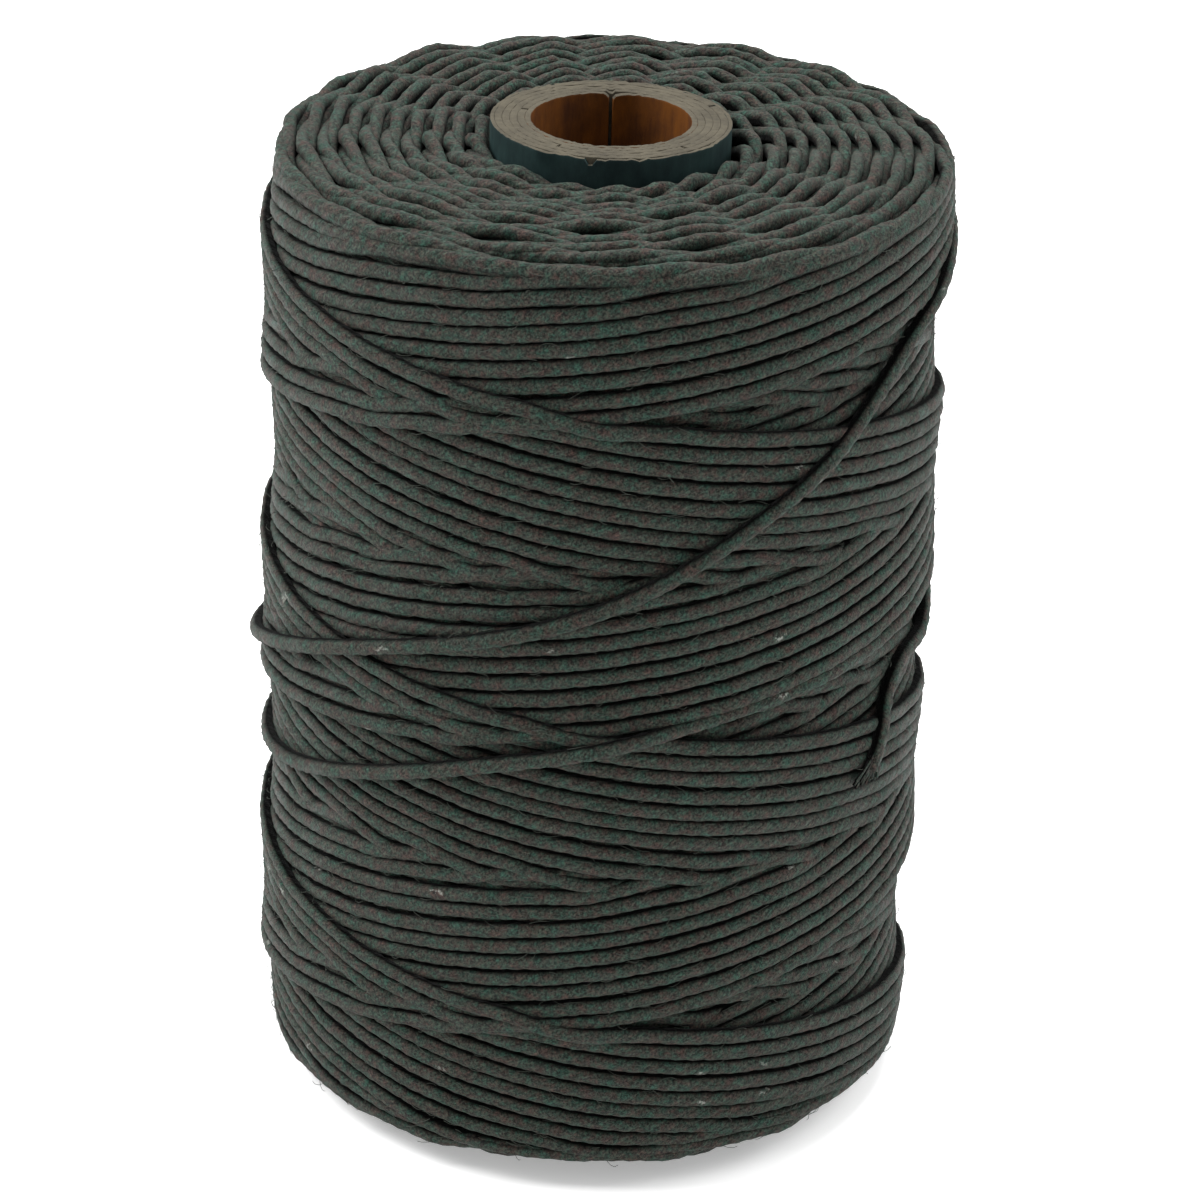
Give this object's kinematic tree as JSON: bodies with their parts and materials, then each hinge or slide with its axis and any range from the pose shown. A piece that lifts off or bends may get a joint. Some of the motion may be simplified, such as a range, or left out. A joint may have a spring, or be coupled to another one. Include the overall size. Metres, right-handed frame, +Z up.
{
  "type": "waxed thread spool",
  "caption": "Cylindrical package of dark waxed thread cross-wound on a plain paper tube, open bored through, with the thread's loose end wrapped round and hooked over itself.",
  "frame": {"origin": "centre of the tube's lower end face, on the surface the spool stands on", "axes": "+Z up the tube's axis; -Y towards the front, +X to the front's right, where the loose end is hooked"},
  "size_m": [0.0441, 0.043, 0.0615],
  "materials": {
    "kraft_liner": "unbleached kraft paper, matt",
    "chipboard": "grey chipboard, cut edge, matt",
    "wrap_paper": "dark teal paper, dull",
    "waxed_thread": "plied spun yarn, waxed, dull"
  },
  "bodies": {
    "root": {"liner_ply": "kraft_liner", "body_ply_1": "chipboard", "body_ply_2": "chipboard", "body_ply_3": "chipboard", "body_ply_4": "chipboard", "outer_wrap": "wrap_paper", "winding_layer_1": "waxed_thread", "winding_layer_2": "waxed_thread", "winding_layer_3": "waxed_thread", "winding_layer_4": "waxed_thread", "winding_layer_5": "waxed_thread", "winding_layer_6": "waxed_thread", "winding_layer_7": "waxed_thread", "winding_layer_8": "waxed_thread", "winding_layer_9": "waxed_thread", "winding_layer_10": "waxed_thread", "thread_start": "waxed_thread", "thread_end": "waxed_thread"}
  },
  "joints": []
}
